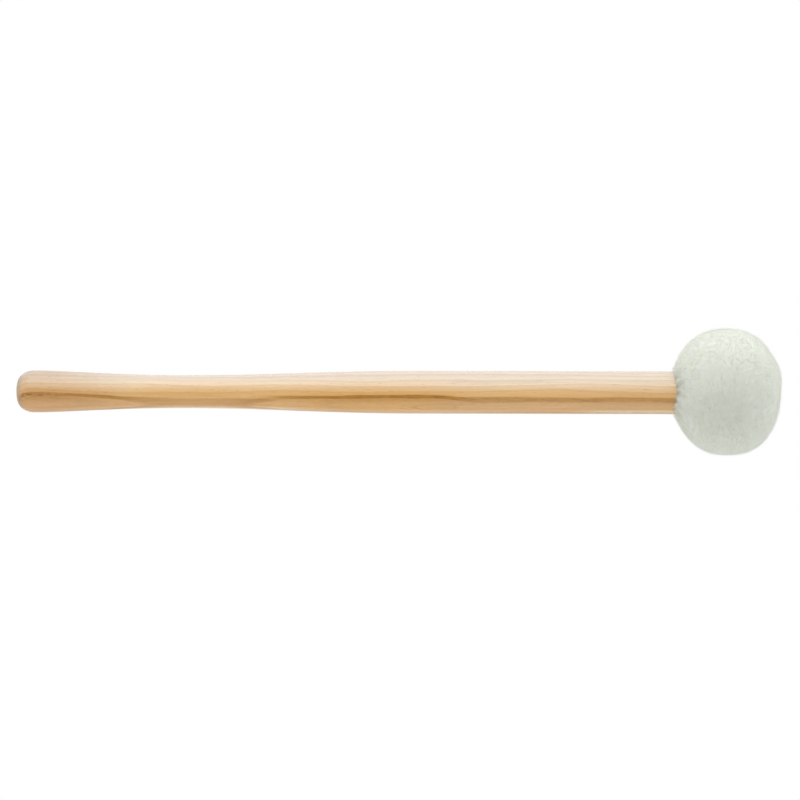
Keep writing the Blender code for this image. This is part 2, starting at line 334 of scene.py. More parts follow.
def grid_object(name, grid, first_pole=True, last_pole=True):
    """A mesh over a grid of points, ring by ring. An end is closed to a pole or left open."""
    rings, sides = grid.shape[:2]
    points = [grid[ring] for ring in range(rings)]
    if first_pole:
        points[0] = grid[0].mean(0, keepdims=True)
    if last_pole:
        points[-1] = grid[-1].mean(0, keepdims=True)
    faces = grid_faces(rings, sides, first_pole, last_pole)
    return new_object(name, np.concatenate(points), faces)


def lathe_grid(outline, sides):
    """The grid of an outline of (distance along X, radius) turned round the X axis."""
    outline = np.asarray(outline)
    angle = np.arange(sides) * 2 * math.pi / sides
    along = np.repeat(outline[:, :1], sides, axis=1)
    across = outline[:, 1:] * np.cos(angle)
    up = outline[:, 1:] * np.sin(angle)
    return np.stack([along, across, up], axis=2)


def hermite(t, start, end, start_slope, end_slope):
    """The smooth curve between two values that has these slopes at its ends, at 0 <= t <= 1."""
    rise = (2 * t**3 - 3 * t**2 + 1) * start + (3 * t**2 - 2 * t**3) * end
    return rise + (t**3 - 2 * t**2 + t) * start_slope + (t**3 - t**2) * end_slope


def smooth_through(at, xs, ys):
    """Values of a smooth curve through the points xs, ys, which doesn't overshoot them."""
    secants = np.diff(ys) / np.diff(xs)
    both = secants[:-1] * secants[1:]
    total = secants[:-1] + secants[1:]
    between = np.where(both > 0, 2 * both / np.where(total == 0, 1, total), 0.0)
    slopes = np.concatenate([secants[:1], between, secants[-1:]])
    i = np.clip(np.searchsorted(xs, at) - 1, 0, len(xs) - 2)
    span = xs[i + 1] - xs[i]
    t = (at - xs[i]) / span
    return hermite(t, ys[i], ys[i + 1], span * slopes[i], span * slopes[i + 1])


def finer(grid, times, wraps):
    """The grid with its first axis sampled more finely, on smooth curves through its points."""
    count = len(grid)
    at = np.arange(count * times if wraps else (count - 1) * times + 1) / times
    i = np.floor(at).astype(int)
    if not wraps:
        i = np.minimum(i, count - 2)
    t = (at - i).reshape(-1, *[1] * (grid.ndim - 1))

    def near(offset):
        return grid[(i + offset) % count] if wraps else grid[np.clip(i + offset, 0, count - 1)]

    before, here, there, after = near(-1), near(0), near(1), near(2)
    return hermite(t, here, there, (there - before) / 2, (after - here) / 2)


def finer_grid(grid, times):
    """A grid of rings sampled more finely along the rings and round them."""
    along = finer(grid, times, wraps=False)
    return finer(along.swapaxes(0, 1), times, wraps=True).swapaxes(0, 1)


def unit(vectors):
    """The vectors at length 1."""
    return vectors / np.maximum(np.linalg.norm(vectors, axis=-1, keepdims=True), 1e-12)


def grid_normals(grid):
    """Outward unit normals of a grid of rings that runs from a far pole to the neck."""
    along = np.gradient(grid, axis=0)
    around = np.roll(grid, -1, axis=1) - np.roll(grid, 1, axis=1)
    normals = unit(np.cross(along, around))
    normals[0] = unit(normals[1].mean(0))
    return normals


def soft_noise(points, size, seed):
    """Smooth noise from -1 to 1 with features of about this size, at each point."""
    shift = Vector((seed * 3.7, seed * -5.1, seed * 8.3))
    values = [noise.noise(Vector(p) / size + shift) for p in points.reshape(-1, 3)]
    return np.array(values).reshape(points.shape[:-1])


# -------- materials


def new_material(name):
    """An empty node material, with its Principled shader already on the output."""
    material = bpy.data.materials.new(name)
    material.use_nodes = True
    return material, material.node_tree, material.node_tree.nodes["Principled BSDF"]


def plug(tree, value, socket):
    """Links a node's output to a socket, or sets the socket to a plain value."""
    if isinstance(value, bpy.types.NodeSocket):
        tree.links.new(value, socket)
    else:
        socket.default_value = value


def plug_all(tree, node, sockets):
    """Puts a value or a link on each of a node's input sockets."""
    for key, value in dict(sockets).items():
        plug(tree, value, node.inputs[key])


def add(tree, kind, sockets=(), **settings):
    """A new node, with settings on it and values or links on its input sockets."""
    made = tree.nodes.new("ShaderNode" + kind)
    for name, value in settings.items():
        setattr(made, name, value)
    plug_all(tree, made, sockets)
    return made


def maths(tree, operation, *values):
    """The result of a Math node."""
    return add(tree, "Math", dict(enumerate(values)), operation=operation).outputs[0]


def stretched(tree, where, scale):
    """The coordinates where, in millimetres, stretched by a scale for each axis."""
    sockets = {0: where, 1: scale}
    return add(tree, "VectorMath", sockets, operation="MULTIPLY").outputs[0]


def cloud(tree, where, scale=1.0, detail=2.0, roughness=0.5):
    """Noise from 0 to 1 at these coordinates."""
    sockets = {"Vector": where, "Scale": scale, "Detail": detail, "Roughness": roughness}
    return add(tree, "TexNoise", sockets).outputs["Fac"]


def mixed_noise(tree, first, second, share):
    """Two noises added, with this share of the second."""
    first_part = maths(tree, "MULTIPLY", first, 1 - share)
    return maths(tree, "ADD", first_part, maths(tree, "MULTIPLY", second, share))


def remap(tree, value, low, high, to_low=0.0, to_high=1.0, smooth=False):
    """The value with the range low..high taken to another range, and held at its ends."""
    sockets = {"Value": value, "From Min": low, "From Max": high, "To Min": to_low, "To Max": to_high}
    made = add(tree, "MapRange", sockets, interpolation_type="SMOOTHSTEP" if smooth else "LINEAR")
    return made.outputs["Result"]


def blend_colour(tree, share, first, second, kind="MIX"):
    """The colour first with a share of second mixed in."""
    made = add(tree, "Mix", data_type="RGBA", blend_type=kind)
    if isinstance(second, tuple):
        second = (*second, 1.0)
    for value, socket in ((share, 0), (first, 6), (second, 7)):
        plug(tree, value, made.inputs[socket])
    return made.outputs[2]


def colours(tree, value, *stops):
    """A colour ramp with (position, colour) stops."""
    made = add(tree, "ValToRGB", {0: value})
    ramp = made.color_ramp
    while len(ramp.elements) < len(stops):
        ramp.elements.new(0.5)
    for element, (position, colour) in zip(ramp.elements, stops):
        element.position = position
        element.color = (*colour, 1.0)
    return made.outputs[0]


def mottled(tree, noise_value, pair, span=(0.3, 0.7)):
    """A colour that wanders between the two of a pair, as noise does between 0 and 1."""
    return colours(tree, noise_value, *zip(span, pair))


def curve(tree, value, *points):
    """The value read through a curve given as points, from 0..1 to 0..1."""
    made = add(tree, "FloatCurve", {"Value": value})
    line = made.mapping.curves[0]
    for index, point in enumerate(points):
        if index < 2:
            line.points[index].location = point
        else:
            line.points.new(*point)
    made.mapping.update()
    return made.outputs[0]


def millimetres(tree):
    """The place on the object, in millimetres."""
    where = add(tree, "TexCoord").outputs["Object"]
    sockets = {0: where, "Scale": 1 / MM}
    return add(tree, "VectorMath", sockets, operation="SCALE").outputs[0]


def streak(tree, field, along, path, strength, spread):
    """A dark sheet of late wood, sharp towards the heart and soft towards the bark.

    Where it lies in the growth field, how dark it is and how far it spreads are given as curves.
    """
    middle = remap(tree, curve(tree, along, *path), 0.0, 1.0, *STREAK_RANGE)
    away = maths(tree, "SUBTRACT", field, middle)
    sharp = remap(tree, away, -STREAK_BELOW, 0.0, smooth=True)
    spread_away = maths(tree, "DIVIDE", away, curve(tree, along, *spread))
    soft = remap(tree, spread_away, STREAK_CORE, STREAK_ABOVE, 1.0, 0.0, smooth=True)
    halo = remap(tree, away, -STREAK_HALO, -STREAK_BELOW, 0.0, HALO_SHARE, smooth=True)
    sheet = maths(tree, "MULTIPLY", maths(tree, "MAXIMUM", sharp, halo), soft)
    return maths(tree, "MULTIPLY", sheet, curve(tree, along, *strength))


def feather(tree, axes):
    """A rise in the growth field round one small knot below the surface, which bends the rings."""
    past = maths(tree, "SUBTRACT", axes[0], FEATHER_TIP)
    ahead = maths(tree, "DIVIDE", past, FEATHER_AHEAD)
    away = maths(tree, "MAXIMUM", ahead, maths(tree, "DIVIDE", past, -FEATHER_BEHIND))
    total = maths(tree, "MULTIPLY", away, away)
    for axis, (middle, reach) in zip((axes[1], axes[2]), FEATHER):
        away = maths(tree, "DIVIDE", maths(tree, "SUBTRACT", axis, middle), reach)
        total = maths(tree, "ADD", total, maths(tree, "MULTIPLY", away, away))
    return remap(tree, total, 0.0, 1.0, FEATHER_RISE, 0.0, smooth=True)


def painted_reflection_share(tree, axes, along):
    """The share of a painted reflection of the pale floor, in pale wood colour, along the stick's -Y
    side.
    """
    round_axis = add(tree, "CombineXYZ", {1: axes[1], 2: axes[2]}).outputs[0]
    towards = add(tree, "VectorMath", {0: round_axis}, operation="NORMALIZE").outputs[0]
    side = add(tree, "SeparateXYZ", {0: towards}).outputs[1]
    shown = remap(tree, side, *PAINTED_REFLECTION_EDGE, smooth=True)
    return maths(tree, "MULTIPLY", shown, curve(tree, along, *PAINTED_REFLECTION_ALONG))


def growth_rings(tree, field):
    """The late wood's share at each place: thin dark lines, each soft on one side."""
    ring = maths(tree, "FRACT", maths(tree, "DIVIDE", field, RING_SPACING))
    shades = ((0.0, 0.15), (0.55, 0.45), (0.86, 1.0), (0.95, 0.7), (1.0, 0.15))
    return colours(tree, ring, *((place, (shade,) * 3) for place, shade in shades))


def growth_fields(tree, where, axes, along):
    """The growth field, nearly straight, bent for the rings, and shifted for the heart's edge."""
    across = maths(tree, "MULTIPLY", axes[1], GROWTH_ACROSS)
    down = maths(tree, "MULTIPLY", axes[2], GROWTH_DOWN)
    leaning = maths(tree, "SUBTRACT", across, down)
    wander = cloud(tree, stretched(tree, where, WANDER_SCALE), detail=1.0)
    straight = maths(tree, "ADD", leaning, remap(tree, wander, *NOISE_SPAN, -WANDER, WANDER))
    bend = cloud(tree, stretched(tree, where, BEND_SCALE), detail=1.0)
    bent = maths(tree, "ADD", straight, remap(tree, bend, *NOISE_SPAN, -RING_BEND, RING_BEND))
    edge = maths(tree, "ADD", straight, remap(tree, bend, *NOISE_SPAN, -EDGE_BEND, EDGE_BEND))
    rise = remap(tree, curve(tree, along, *HEART_RISE), 0.0, 1.0, 0.0, HEART_RISE_HEIGHT)
    return straight, bent, maths(tree, "SUBTRACT", edge, rise)


def plain_wood(tree, where, along, straight, edge):
    """The wood without its rings and streaks: amber heartwood under pale sapwood."""
    patch = cloud(tree, stretched(tree, where, PATCH_SCALE))
    heart = mottled(tree, patch, HEART_COLOURS)
    heart = blend_colour(tree, remap(tree, straight, *DEEP_HEART_EDGE), heart, DEEP_HEART_COLOUR)
    flush = curve(tree, along, *FLUSH)
    flushed = maths(tree, "MULTIPLY", remap(tree, straight, *FLUSHED_EDGE), flush)
    heart = blend_colour(tree, flushed, heart, FLUSHED_COLOUR)
    heart = blend_colour(tree, remap(tree, edge, *HEARTWOOD_EDGE), heart, OUTER_HEART_COLOUR)
    pale = mottled(tree, patch, SAPWOOD_COLOURS)
    pale = blend_colour(tree, remap(tree, straight, *BARK_SIDE_EDGE), pale, BARK_SIDE_COLOUR)
    return blend_colour(tree, remap(tree, edge, *SAPWOOD_EDGE, smooth=True), heart, pale)


def ringed_wood(tree, axes, bent, plain):
    """The plain wood with its growth rings, which bend and darken over the knot."""
    knot = feather(tree, axes)
    contrast = remap(tree, knot, 0.0, FEATHER_RISE / 2, RING_CONTRAST, KNOT_RING_CONTRAST)
    rings = growth_rings(tree, maths(tree, "ADD", bent, knot))
    return blend_colour(tree, maths(tree, "MULTIPLY", rings, contrast), plain, LATE_WOOD_COLOUR)


def streaked_wood(tree, where, along, straight, ringed):
    """The ringed wood with its two dark streaks, frayed along the grain, and their specks."""
    first = streak(tree, straight, along, FIRST_PATH, FIRST_STRENGTH, FIRST_SPREAD)
    second = streak(tree, straight, along, SECOND_PATH, SECOND_STRENGTH, SECOND_SPREAD)
    frays = cloud(tree, stretched(tree, where, FRAY_SCALE), detail=3.0)
    frayed = remap(tree, frays, *FRAY_SPAN, FRAYED_SHARE, 1.0)
    dark = maths(tree, "MULTIPLY", maths(tree, "MAXIMUM", first, second), frayed)
    streaked = blend_colour(tree, dark, ringed, STREAK_COLOUR)
    speck = cloud(tree, stretched(tree, where, SPECK_SCALE))
    speck = remap(tree, speck, *SPECK_SPAN, smooth=True)
    specks = maths(tree, "MULTIPLY", speck, curve(tree, along, *SPECKS))
    return blend_colour(tree, maths(tree, "MULTIPLY", specks, dark), streaked, SPECK_COLOUR)


def wood_colour(tree, where, axes, along):
    """The wood's colour, and the shares of fine grain and of pores, which give it relief."""
    straight, bent, edge = growth_fields(tree, where, axes, along)
    plain = plain_wood(tree, where, along, straight, edge)
    ringed = ringed_wood(tree, axes, bent, plain)
    # Painted reflection: the -Y side of the stick is painted paler
    ringed = blend_colour(tree, painted_reflection_share(tree, axes, along), ringed, PAINTED_REFLECTION_COLOUR)
    streaked = streaked_wood(tree, where, along, straight, ringed)
    grain = cloud(tree, stretched(tree, where, GRAIN_SCALE), detail=3.0, roughness=0.6)
    tint = mottled(tree, grain, GRAIN_TINTS)
    grained = blend_colour(tree, GRAIN_SHARE, streaked, tint, kind="MULTIPLY")
    pores = cloud(tree, stretched(tree, where, PORE_SCALE), detail=1.0)
    pore = remap(tree, pores, *PORE_SPAN, smooth=True)
    pored = blend_colour(tree, maths(tree, "MULTIPLY", pore, PORE_SHARE), grained, PORE_COLOUR)
    handled = remap(tree, axes[0], *HANDLED_LENGTH, 1.0, 0.0, smooth=True)
    browned = blend_colour(tree, handled, pored, HANDLED_TINT, kind="MULTIPLY")
    butt = remap(tree, axes[0], 0.0, BUTT_DEPTH, BUTT_SHARE, 0.0, smooth=True)
    return blend_colour(tree, butt, browned, BUTT_COLOUR), grain, pore


def wood_material(length):
    """Pale hardwood under satin lacquer, with growth rings that run through the whole stick."""
    material, tree, shader = new_material("lacquered_hardwood")
    where = millimetres(tree)
    axes = add(tree, "SeparateXYZ", {0: where}).outputs
    along = maths(tree, "DIVIDE", axes[0], length / MM)
    colour, grain, pore = wood_colour(tree, where, axes, along)
    height = maths(tree, "SUBTRACT", maths(tree, "MULTIPLY", grain, 0.4), pore)
    bump = add(tree, "Bump", {"Strength": 0.25, "Distance": 0.03 * MM, "Height": height})
    plug_all(tree, shader, {
        "Base Color": colour,
        "Roughness": remap(tree, grain, 0.3, 0.7, 0.36, 0.46),
        "Normal": bump.outputs[0],
        "Specular IOR Level": 0.3,
        "Coat Weight": 0.9,
        "Coat Roughness": 0.2,
    })
    return material


def fleece_material(name, pair, variety):
    """Matte, pale grey-green fleece, with soft patches and a little variety between strands."""
    material, tree, shader = new_material(name)
    where = millimetres(tree)
    patch = cloud(tree, where, scale=0.16, detail=3.0)
    tuft = cloud(tree, where, scale=0.42, detail=2.0)
    island = add(tree, "NewGeometry").outputs["Random Per Island"]
    mixed = mixed_noise(tree, patch, tuft, 0.5)
    tinted = mottled(tree, mixed, pair, span=(0.32, 0.68))
    varied = remap(tree, island, 0.0, 1.0, 1 - variety, 1.0)
    plug_all(tree, shader, {
        "Base Color": blend_colour(tree, 1.0, tinted, varied, kind="MULTIPLY"),
        "Roughness": 0.95,
        "Specular IOR Level": 0.2,
        "Subsurface Weight": 0.7,
        "Subsurface Radius": (1.0, 1.0, 0.9),
        "Subsurface Scale": 2.4 * MM,
        "Sheen Weight": 0.25,
        "Sheen Roughness": 0.6,
    })
    return material


def felt_material(name, pair, fineness):
    """Matte pressed felt with a fine fibre texture."""
    material, tree, shader = new_material(name)
    where = millimetres(tree)
    fibre = cloud(tree, where, scale=fineness, detail=5.0, roughness=0.7)
    patch = cloud(tree, where, scale=0.2)
    mixed = mixed_noise(tree, fibre, patch, 0.4)
    bump = add(tree, "Bump", {"Strength": 0.6, "Distance": 0.2 * MM, "Height": fibre})
    plug_all(tree, shader, {
        "Base Color": mottled(tree, mixed, pair),
        "Normal": bump.outputs[0],
        "Roughness": 0.95,
    })
    return material


def cord_material():
    """Waxed, twisted thread."""
    material, tree, shader = new_material("waxed_cord")
    where = millimetres(tree)
    fibre = cloud(tree, where, scale=3.0, detail=4.0, roughness=0.7)
    bump = add(tree, "Bump", {"Strength": 0.5, "Distance": 0.05 * MM, "Height": fibre})
    plug_all(tree, shader, {
        "Base Color": mottled(tree, fibre, CORD_COLOURS),
        "Normal": bump.outputs[0],
        "Roughness": 0.55,
    })
    return material


def steel_material():
    """Zinc-plated steel, faintly cloudy in colour and in gloss."""
    material, tree, shader = new_material("zinc_plated_steel")
    where = millimetres(tree)
    cloudy = cloud(tree, where, scale=0.8, detail=4.0)
    plug_all(tree, shader, {
        "Base Color": mottled(tree, cloudy, STEEL_COLOURS),
        "Roughness": remap(tree, cloudy, 0.3, 0.7, 0.28, 0.42),
        "Metallic": 1.0,
    })
    return material


# -------- handle


def handle_outline():
    """The CAD handle's outline as (distance along X, radius), from the pilot hole to the butt."""
    rings = turned_points("handle")
    end = rings[:, 0].max()
    shaft = rings[:, 1].max()
    shoulder = rings[rings[:, 1] == shaft, 0].max()
    pilot = rings[rings[:, 0] == end, 1].min()
    inner = rings[(rings[:, 0] >= shoulder) & (rings[:, 1] < shaft)]
    hole = inner[inner[:, 1] <= pilot]
    tenon = inner[inner[:, 1] > pilot][::-1]
    outer = rings[(rings[:, 0] <= shoulder) & ((rings[:, 0] < shoulder) | (rings[:, 1] == shaft))]
    flat = outer[outer[:, 0] == 0, 1].max()
    full = outer[outer[:, 0] < BUTT_ZONE, 1].max()
    corner = outer[outer[:, 1] == full, 0].min()
    turned = outer[outer[:, 0] >= corner]
    along = np.linspace(shoulder, corner, int((shoulder - corner) / HANDLE_RING_STEP))
    line = [*hole, *tenon, *zip(along, smooth_through(along, turned[:, 0], turned[:, 1]))]
    for step in range(1, CORNER_RINGS + 1):
        angle = math.pi / 2 * step / CORNER_RINGS
        radius = flat + (full - flat) * math.cos(angle)
        line.append((corner * (1 - math.sin(angle)), radius))
    line += [(0.0, flat / 2), (0.0, 0.0)]
    return np.array(line)


def make_handle():
    """The turned stick, finer than its CAD solid and very slightly uneven."""
    outline = handle_outline()
    grid = lathe_grid(outline, HANDLE_SIDES)
    uneven = soft_noise(grid * (0.12, 1.0, 1.0), 9 * MM, seed=3) * TURNING_WAVE
    uneven *= outline[:, :1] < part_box("fleece_cover")[0].x
    grid += unit(grid * (0.0, 1.0, 1.0)) * uneven[..., None]
    handle = grid_object("handle_stick", grid)
    handle.data.set_sharp_from_angle(angle=math.radians(40))
    handle.data.materials.append(wood_material(outline[:, 0].max()))
    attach(handle, BODY)
    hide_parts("handle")


# -------- fleece cover


def upper_hull(points):
    """The outermost points of a convex outline, by rising distance along X."""
    hull = []
    for point in points:
        while len(hull) > 1:
            (ax, ar), (bx, br) = hull[-2:]
            if (bx - ax) * (point[1] - ar) - (br - ar) * (point[0] - ax) < 0:
                break
            hull.pop()
        hull.append(tuple(point))
    return np.array(hull)


def even_line(points, count):
    """A line through the points, resampled on smooth curves to a count of even steps."""
    lengths = np.linalg.norm(np.diff(points, axis=0), axis=1)
    steps = np.concatenate([[0], np.cumsum(lengths)])
    at = np.linspace(0, steps[-1], count)
    return np.column_stack([smooth_through(at, steps, points[:, axis]) for axis in (0, 1)])


def skin_outline():
    """The skin's outline, from the far pole to the neck, at its depth inside the pile's tips."""
    line = even_line(upper_hull(turned_points("fleece_cover"))[::-1], SKIN_RINGS * 4)
    tangent = unit(np.gradient(line, axis=0))
    line += np.column_stack([-tangent[:, 1], tangent[:, 0]]) * SKIN_INSET
    line = line[line[:, 1] > 0]
    line[0] = (line[0, 0], 0.0)
    return even_line(line, SKIN_RINGS)


def pressed(grid, centre):
    """How deep each point of the head sits for the places where the pad was pressed flatter."""
    outward = unit(grid - centre)
    depth = np.zeros(grid.shape[:-1])
    for direction, deep, width in PRESSED_PLACES:
        away = np.arccos(np.clip(outward @ unit(np.array(direction)), -1, 1))
        depth += deep * np.exp(-((away / math.radians(width)) ** 2))
    return depth


def near_neck(grid):
    """1 at the hem round the handle, falling to 0 where the gathers end."""
    hem = grid[-1].mean(0)
    from_hem = np.linalg.norm(grid - hem, axis=-1) - np.linalg.norm(grid[-1] - hem, axis=-1).mean()
    return np.clip(1 - from_hem / PLEAT_REACH, 0, 1) ** 1.5


def pleats(grid):
    """The gathers round the neck, as a depth that is as often above the skin as below it."""
    angle = np.arctan2(grid[..., 2], grid[..., 1])
    wander = soft_noise(grid, 9 * MM, seed=5)
    fold = -0.5 * np.cos(PLEATS * angle + 2.2 * wander + 1.3 * np.sin(3 * angle + 1))
    return PLEAT_DEPTH * fold * near_neck(grid)


def add_cloth(cage, held):
    """Puts Blender's Cloth on the cage: light, slack, and blown out against its held points."""
    cloth = cage.modifiers.new("cloth", "CLOTH")
    settings = cloth.settings
    settings.quality = 6
    settings.mass = 0.15
    settings.tension_stiffness = 12
    settings.compression_stiffness = 6
    settings.bending_stiffness = 0.2
    settings.shrink_min = -CLOTH_SLACK
    settings.use_pressure = True
    settings.uniform_pressure_force = CLOTH_PRESSURE
    settings.vertex_group_mass = held.name
    settings.effector_weights.gravity = 0.0
    cloth.point_cache.frame_start = 1
    cloth.point_cache.frame_end = SIMULATED_FRAMES


def simulated(cage):
    """The cage's points after the simulation's last frame."""
    scene = bpy.context.scene
    for step in range(1, SIMULATED_FRAMES + 1):
        scene.frame_set(step)
    seen = cage.evaluated_get(bpy.context.evaluated_depsgraph_get())
    points = mesh_points(seen.data)
    bpy.data.objects.remove(cage)
    scene.frame_set(1)
    return points


def inflated(grid):
    """The skin's grid after the simulation has blown it out, by no more than SKIN_LIMIT.

    The solver works on a cage many times life size, because it hardly moves a cloth this small.
    """
    rings, sides = grid.shape[:2]
    centre = grid.reshape(-1, 3).mean(0)
    cage = grid_object("fleece_cage", (grid - centre) * SIMULATED_SIZE, last_pole=False)
    held = cage.vertex_groups.new(name="held")
    first_held = 1 + sides * (rings - 1 - HELD_RINGS)
    held.add(list(range(first_held, len(cage.data.vertices))), 1.0, "REPLACE")
    add_cloth(cage, held)
    points = simulated(cage) / SIMULATED_SIZE + centre
    blown = np.concatenate([np.repeat(points[:1], sides, axis=0), points[1:]]).reshape(grid.shape)
    moved = blown - grid
    length = np.linalg.norm(moved, axis=-1, keepdims=True)
    return grid + moved * SKIN_LIMIT / np.maximum(length, SKIN_LIMIT)


def clear_of_handle(points, gap):
    """The points, moved out softly to keep a gap to the handle where they run beside it."""
    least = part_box("handle")[1].z + gap
    across = np.maximum(np.linalg.norm(points[..., 1:], axis=-1, keepdims=True), 1e-9)
    beside = points[..., :1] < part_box("felt_core")[0].x
    inside = np.minimum(across - least - SOFT_GAP, 0.0)
    moved = least + SOFT_GAP * np.exp(inside / SOFT_GAP)
    scale = np.where(beside & (inside < 0), moved / across, 1.0)
    return points * np.concatenate([np.ones_like(scale), scale, scale], axis=-1)


def skin_grid():
    """The outer face of the knitted skin, with its pressed places, gathers and swelling."""
    low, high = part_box("fleece_cover")
    centre = np.array((low + high) / 2)
    grid = lathe_grid(skin_outline(), SKIN_SIDES)
    normals = grid_normals(grid)
    depth = pressed(grid, centre) + pleats(grid) + SKIN_SWELL * (1 - near_neck(grid))
    depth -= NECK_FULLNESS * near_neck(grid)
    grid = finer_grid(inflated(grid - normals * depth[..., None]), SKIN_FINER)
    normals = grid_normals(grid)
    tufts = soft_noise(grid, TUFT_SIZE, seed=7) + 0.5 * soft_noise(grid, FINE_TUFT_SIZE, seed=8)
    rise = TUFT_RELIEF * tufts
    rise[0] = rise[0].mean()
    return clear_of_handle(grid + normals * rise[..., None], HEM_GAP)


def make_cover(grid):
    """The knitted skin as a closed shell: its outer face, the hem and a plainer inner face."""
    hem = np.minimum(2 * near_neck(grid), 1.0)[..., None]
    depth = SKIN_THICKNESS * (1 - hem) + HEM_THICKNESS * hem
    inner = clear_of_handle(grid - grid_normals(grid) * depth, HEM_GAP)
    last = len(grid) - 1
    near_cord = last - HEM_FINE_RINGS
    kept = [*range(last, near_cord, -1), *range(near_cord, -1, -SKIN_FINER)]
    shell = np.concatenate([grid, inner[kept]])
    cover = grid_object("fleece_skin", shell)
    cover.data.materials.append(fleece_material("fleece_skin", SKIN_COLOURS, variety=0.0))
    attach(cover, BODY)
    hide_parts("fleece_cover")


# -------- pile


def spread_over(grid, count, rng):
    """Random places spread evenly over a skin's outer face, and the normal at each."""
    normals = grid_normals(grid)
    beside = np.roll(grid, -1, axis=1)
    areas = np.linalg.norm(np.cross(grid[1:] - grid[:-1], beside[:-1] - grid[:-1]), axis=-1)
    picks = rng.choice(areas.size, count, p=areas.ravel() / areas.sum())
    ring, side = np.unravel_index(picks, areas.shape)
    after = (side + 1) % grid.shape[1]
    s, t = rng.random((2, count, 1))

    def mixed(values):
        here = values[ring, side] * (1 - t) + values[ring, after] * t
        there = values[ring + 1, side] * (1 - t) + values[ring + 1, after] * t
        return here * (1 - s) + there * s

    return mixed(grid), unit(mixed(normals))


def combed(places, size, seed):
    """A smooth field of directions, which neighbouring strands share."""
    return np.stack([soft_noise(places, size, seed + axis) for axis in range(3)], axis=1)


def strand_lean(roots, normals, rng):
    """The direction along the skin that each strand leans in."""
    share, size = COMBED
    fine_share, fine_size = FINELY_COMBED
    wild = rng.normal(size=(len(roots), 3))
    lean = share * combed(roots, size, 21) + fine_share * combed(roots, fine_size, 31)
    lean += WILD_SHARE * wild
    return unit(lean - normals * (lean * normals).sum(1, keepdims=True))


def nearest_leaders(roots):
    """For each strand, the strand that its tuft is drawn towards."""
    tree = KDTree(CLUMP_COUNT)
    for index in range(CLUMP_COUNT):
        tree.insert(roots[index], index)
    tree.balance()
    return np.array([tree.find(root)[1] for root in roots])


def strand_paths(grid, rng):
    """The pile's strands as (roots, middles, tips), leaning, curling and drawn into tufts."""
    roots, normals = spread_over(grid, PILE_STRANDS, rng)
    count = len(roots)
    lean = strand_lean(roots, normals, rng)
    tilt = rng.normal(PILE_TILT, PILE_TILT_SPREAD, (count, 1)).clip(*PILE_TILTS)
    tilt = np.radians(tilt)
    ahead = normals * np.cos(tilt) + lean * np.sin(tilt)
    length = PILE_LENGTH * rng.uniform(*PILE_LENGTHS, (count, 1))
    middle = roots + ahead * length * STRAND_PARTS[0]
    curl = ahead + CURL * lean + CURL * rng.normal(size=(count, 3)) - DROOP * normals
    tips = middle + unit(curl) * length * STRAND_PARTS[1]
    leader = nearest_leaders(roots)
    apart = roots - roots[leader]
    pull = CLUMP_PULL * rng.uniform(*CLUMP_PULLS, (count, 1))
    middle += (middle[leader] + CLUMP_BEND_WIDTH * apart - middle) * pull * 0.5
    tips += (tips[leader] + CLUMP_TIP_WIDTH * apart - tips) * pull
    return roots - normals * ROOT_DEPTH, middle, tips


def strand_mesh(name, roots, middle, tips, rng):
    """Tapered three-sided strands, each a closed solid that ends in a point."""
    count = len(roots)
    ahead = unit(tips - roots)
    side = unit(np.cross(ahead, rng.normal(size=(count, 3))))
    up = np.cross(ahead, side)
    rings = []
    for centre, share in ((roots, 1.0), (middle, STRAND_TAPER)):
        for corner in range(3):
            angle = 2 * math.pi * corner / 3
            out = side * math.cos(angle) + up * math.sin(angle)
            rings.append(centre + out * STRAND_RADIUS * share)
    points = np.stack([*rings, tips], axis=1).reshape(-1, 3)
    one = [(2, 1, 0)]
    for corner in range(3):
        after = (corner + 1) % 3
        one.append((corner, after, 3 + after, 3 + corner))
        one.append((3 + corner, 3 + after, 6))
    faces = [tuple(7 * strand + i for i in face) for strand in range(count) for face in one]
    return new_object(name, points, faces)


def make_pile(grid):
    """The fleece's pile, as several pieces that share one material."""
    rng = np.random.default_rng(PILE_SEED)
    roots, middle, tips = strand_paths(grid, rng)
    middle = clear_of_handle(middle, STRAND_RADIUS)
    tips = clear_of_handle(tips, STRAND_RADIUS)
    material = fleece_material("fleece_pile", PILE_COLOURS, STRAND_VARIETY)
    for index in range(PILE_PIECES):
        part = slice(index, None, PILE_PIECES)
        pile = strand_mesh(f"fleece_pile_{index}", roots[part], middle[part], tips[part], rng)
        pile.data.materials.append(material)
        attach(pile, BODY)


# -------- inside the head


def rounded(node, name):
    """A smooth, closed piece over a CAD solid, with its edges eased by subdivision."""
    made = bmesh.new()
    made.from_mesh(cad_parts[node].data)
    bmesh.ops.remove_doubles(made, verts=made.verts, dist=0.01 * MM)
    limits = {"angle_face_threshold": math.radians(10), "angle_shape_threshold": math.radians(60)}
    bmesh.ops.join_triangles(made, faces=made.faces, **limits)
    crease = made.edges.layers.float.new("crease_edge")
    for edge in made.edges:
        if len(edge.link_faces) == 2 and edge.calc_face_angle() > FELT_CREASE_ANGLE:
            edge[crease] = FELT_CREASE
    mesh = bpy.data.meshes.new(name)
    made.to_mesh(mesh)
    made.free()
    piece = bpy.data.objects.new(name, mesh)
    bpy.context.scene.collection.objects.link(piece)
    rounding = piece.modifiers.new("rounding", "SUBSURF")
    rounding.levels = rounding.render_levels = FELT_LEVELS
    bpy.context.view_layer.update()
    seen = piece.evaluated_get(bpy.context.evaluated_depsgraph_get())
    final = bpy.data.meshes.new_from_object(seen)
    piece.modifiers.clear()
    piece.data = final
    return piece


